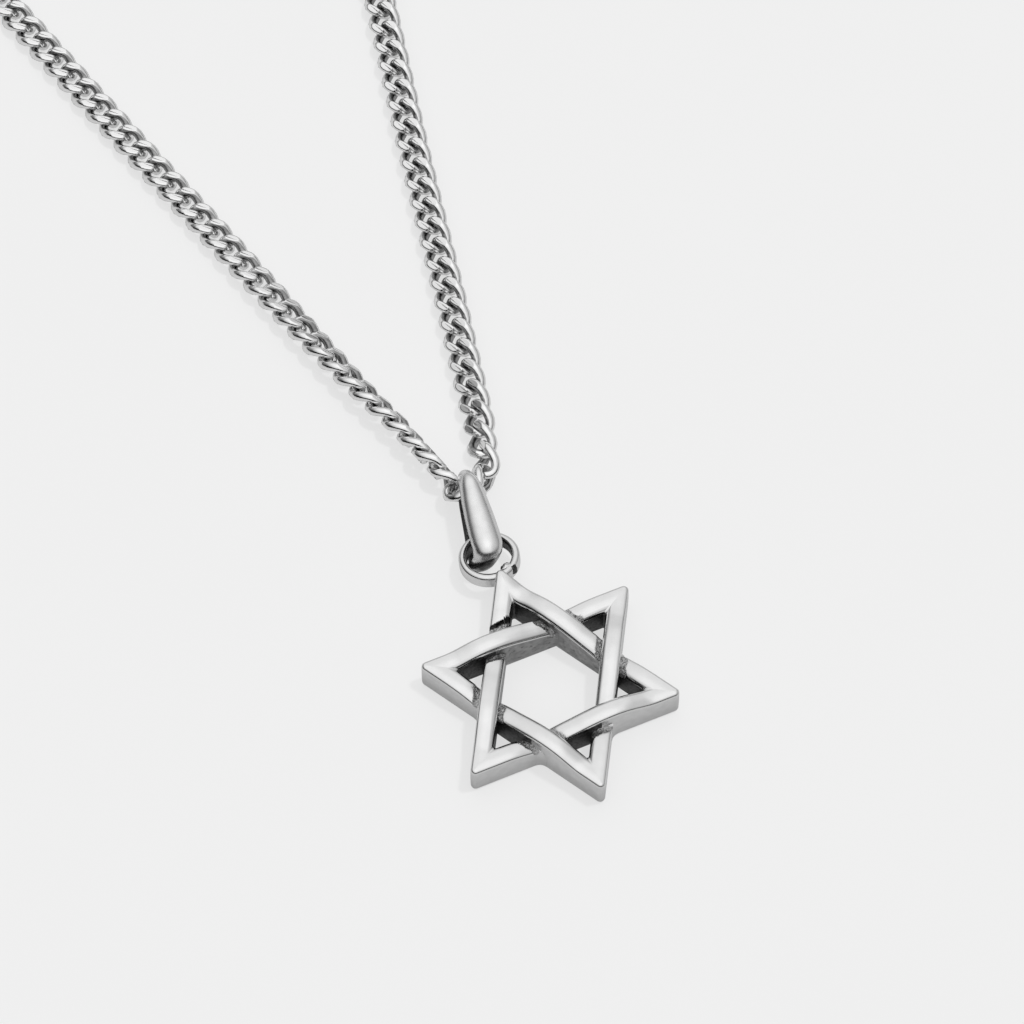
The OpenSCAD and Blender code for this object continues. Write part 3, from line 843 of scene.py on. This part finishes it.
def place_links():
    """Each link's middle and its three axes."""
    turn = np.radians(ROUTE[:, 3])
    half = np.sqrt((CHAIN_WIDTH / 2 * np.sin(turn)) ** 2
                   + (CHAIN_THICK / 2 * np.cos(turn)) ** 2)
    rows = np.column_stack([ROUTE[:, :2], ROUTE[:, 2] + half * ROUTE[:, 4], ROUTE[:, 3]])
    rows = np.concatenate([rows[:ROWS_BEFORE], BAIL_LINKS, rows[ROWS_AFTER:]])
    line = smooth_line(rows)
    spots = line[:, :3] + [HANG[0], HANG[1], 0]
    far = np.concatenate([[0], np.cumsum(np.linalg.norm(np.diff(spots, axis=0), axis=1))])
    fixed = far[[(ROWS_BEFORE + k) * CURVE_PARTS for k in range(len(BAIL_LINKS))]]
    before, after = round(fixed[0] / PITCH), round((far[-1] - fixed[-1]) / PITCH)
    steps = np.concatenate([np.linspace(0, fixed[0], before + 1)[:-1], fixed,
                            np.linspace(fixed[-1], far[-1], after + 1)[1:]])

    def at(s):
        return np.stack([np.interp(s, far, spots[:, k]) for k in range(3)], 1)

    ahead = at(steps + PITCH / 2) - at(steps - PITCH / 2)
    ahead /= np.linalg.norm(ahead, axis=1)[:, None]
    turn = np.radians(np.interp(steps, far, line[:, 3]))
    side_of = np.cross(ahead, [0, 0, 1])
    side_of /= np.linalg.norm(side_of, axis=1)[:, None]
    up = np.cross(side_of, ahead)
    c, s = np.cos(turn)[:, None], np.sin(turn)[:, None]
    return at(steps), ahead, c * side_of - s * up, s * side_of + c * up


def make_chain():
    """All the links in one piece."""
    shape, faces, which = link_shape()
    middle, ahead, flat, face = place_links()
    points = (middle[:, None] + shape[None, :, :1] * ahead[:, None]
              + shape[None, :, 1:2] * flat[:, None] + shape[None, :, 2:] * face[:, None])
    points[:, :, 2] += np.maximum(FLOOR_GAP - points[:, :, 2].min(axis=1), 0)[:, None]
    many = [tuple(v + k * len(shape) for v in reversed(f))      # the axes mirror a link
            for k in range(len(middle)) for f in faces]
    made = piece("curb_chain", points.reshape(-1, 3), many, LINK_METALS, which * len(middle))
    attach(made, "root")
    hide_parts("chain")


make_chain()

# The clasp and its two rings keep their solids.

SHARP_CLASP = 35                               # degrees, past which their edges are sharp

for node, slot in (("clasp", "clasp_silver"), ("clasp_ring", "ring_silver"),
                   ("end_ring", "ring_silver")):
    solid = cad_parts[node]
    solid.data.materials.clear()
    solid.data.materials.append(clasp_metal)
    solid.data.polygons.foreach_set("use_smooth", np.ones(len(solid.data.polygons), bool))
    solid.data.set_sharp_from_angle(angle=math.radians(SHARP_CLASP))

# Floor

FLOOR_HALF = 1500                              # of its side
FLOOR_TONES = 0.2, 0.204                       # its faint clouds
GLOW_SEEN, GLOW = 0.66, 0.38                   # of the lit floor, as seen and in the metal


def make_floor():
    """The pale floor, which glows a little, so that no shadow on it is dark."""
    material = bpy.data.materials.new("pale_floor")
    material.use_nodes = True
    m = Nodes(material.node_tree)
    place = m.add("ShaderNodeTexCoord").outputs["Object"]
    cloud = m.add("ShaderNodeTexNoise", Vector=place, Scale=30.0, Detail=2.0)
    tone = m.ramp(cloud.outputs["Fac"], zip(NOISE_SPAN, FLOOR_TONES))
    shader = m.add("ShaderNodeBsdfPrincipled", Roughness=0.3)
    m.set(shader, "Base Color", tone)
    m.set(shader, "Specular IOR Level", 0.15)
    m.set(shader, "Emission Color", (1, 1, 1, 1))
    m.set(shader, "Emission Strength", m.multiply_add(m.seen(), GLOW_SEEN - GLOW, GLOW))
    m.add("ShaderNodeOutputMaterial", Surface=shader.outputs[0])
    corners = np.array([[-1, -1, 0], [1, -1, 0], [1, 1, 0], [-1, 1, 0]]) * FLOOR_HALF
    made = piece("floor", corners, [(0, 1, 2, 3)], [material])


make_floor()
